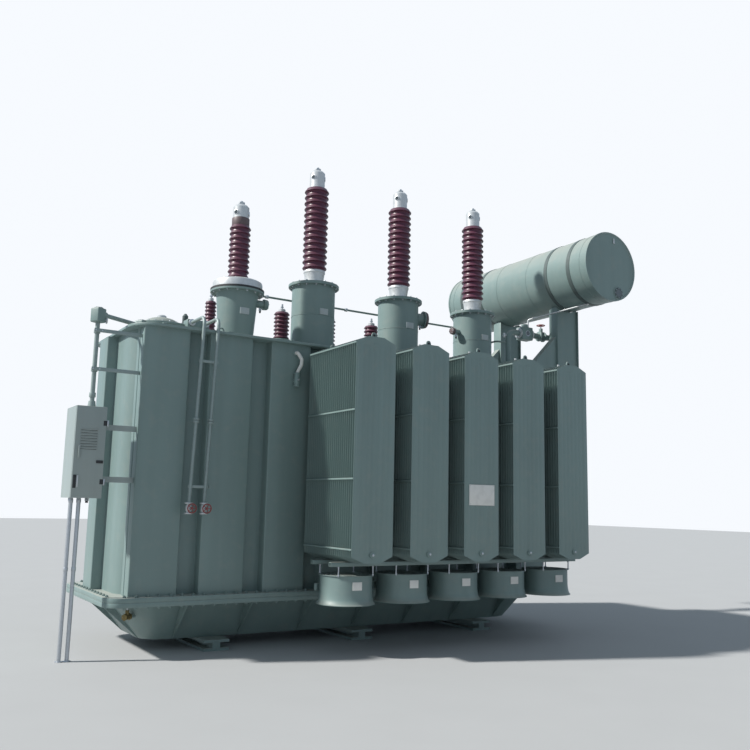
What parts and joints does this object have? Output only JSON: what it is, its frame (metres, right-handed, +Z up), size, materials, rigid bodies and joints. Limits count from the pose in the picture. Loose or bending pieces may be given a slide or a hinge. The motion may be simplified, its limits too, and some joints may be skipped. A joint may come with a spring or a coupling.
{
  "type": "power transformer",
  "caption": "Oil-immersed power transformer with bell tank, panel radiators and fans, high-voltage bushings, oil conservator and a control cabinet with hinged door.",
  "frame": {"origin": "centre of the tank's base on the ground, on the middle skid's underside", "axes": "+X along the tank towards the conservator, +Y from the high-voltage side to the low-voltage side, +Z up"},
  "size_m": [7.81, 4.3, 6.1609],
  "materials": {
    "grey_green_paint": "satin",
    "fan_paint": "satin",
    "cabinet_paint": "satin",
    "galvanised_steel": "zinc coated",
    "brown_glaze": "glazed porcelain"
  },
  "bodies": {
    "transformer": {"bell_tank": "grey_green_paint", "lower_tank": "grey_green_paint", "tank_cover": "grey_green_paint", "skid_left": "grey_green_paint", "skid_middle": "grey_green_paint", "skid_right": "grey_green_paint", "fan_bank_front": "fan_paint", "fan_bank_back": "fan_paint", "turret_a": "grey_green_paint", "turret_b": "grey_green_paint", "turret_c": "grey_green_paint", "turret_neutral": "grey_green_paint", "bushing_a": "brown_glaze", "bushing_b": "brown_glaze", "bushing_c": "brown_glaze", "bushing_neutral": "brown_glaze", "lv_bushing_1": "brown_glaze", "lv_bushing_2": "brown_glaze", "lv_bushing_3": "brown_glaze", "small_bushing": "brown_glaze", "tap_changer_head": "grey_green_paint", "tap_drive": "galvanised_steel", "tap_pipes": "galvanised_steel", "conservator_shell": "grey_green_paint", "conservator_end_front": "grey_green_paint", "conservator_end_back": "grey_green_paint", "conservator_stand_front": "grey_green_paint", "conservator_stand_back": "grey_green_paint", "oil_pipe_lower": "grey_green_paint", "oil_pipe_upper": "grey_green_paint", "gas_relay": "grey_green_paint", "cabinet_body": "cabinet_paint", "cabinet_leg_left": "galvanised_steel", "cabinet_leg_right": "galvanised_steel", "radiator_front_1": "grey_green_paint", "radiator_front_2": "grey_green_paint", "radiator_front_3": "grey_green_paint", "radiator_front_4": "grey_green_paint", "radiator_front_5": "grey_green_paint", "radiator_back_1": "grey_green_paint", "radiator_back_2": "grey_green_paint", "radiator_back_3": "grey_green_paint", "radiator_back_4": "grey_green_paint", "radiator_back_5": "grey_green_paint"},
    "cabinet_door": {"cabinet_door": "cabinet_paint"}
  },
  "joints": [
    {"name": "cabinet_door_hinge", "type": "hinge", "parent": "transformer", "child": "cabinet_door", "pos_m": [-3.306, -0.968, 2.125], "axis": [0, 0, 1], "range_deg": [0, 120]}
  ]
}
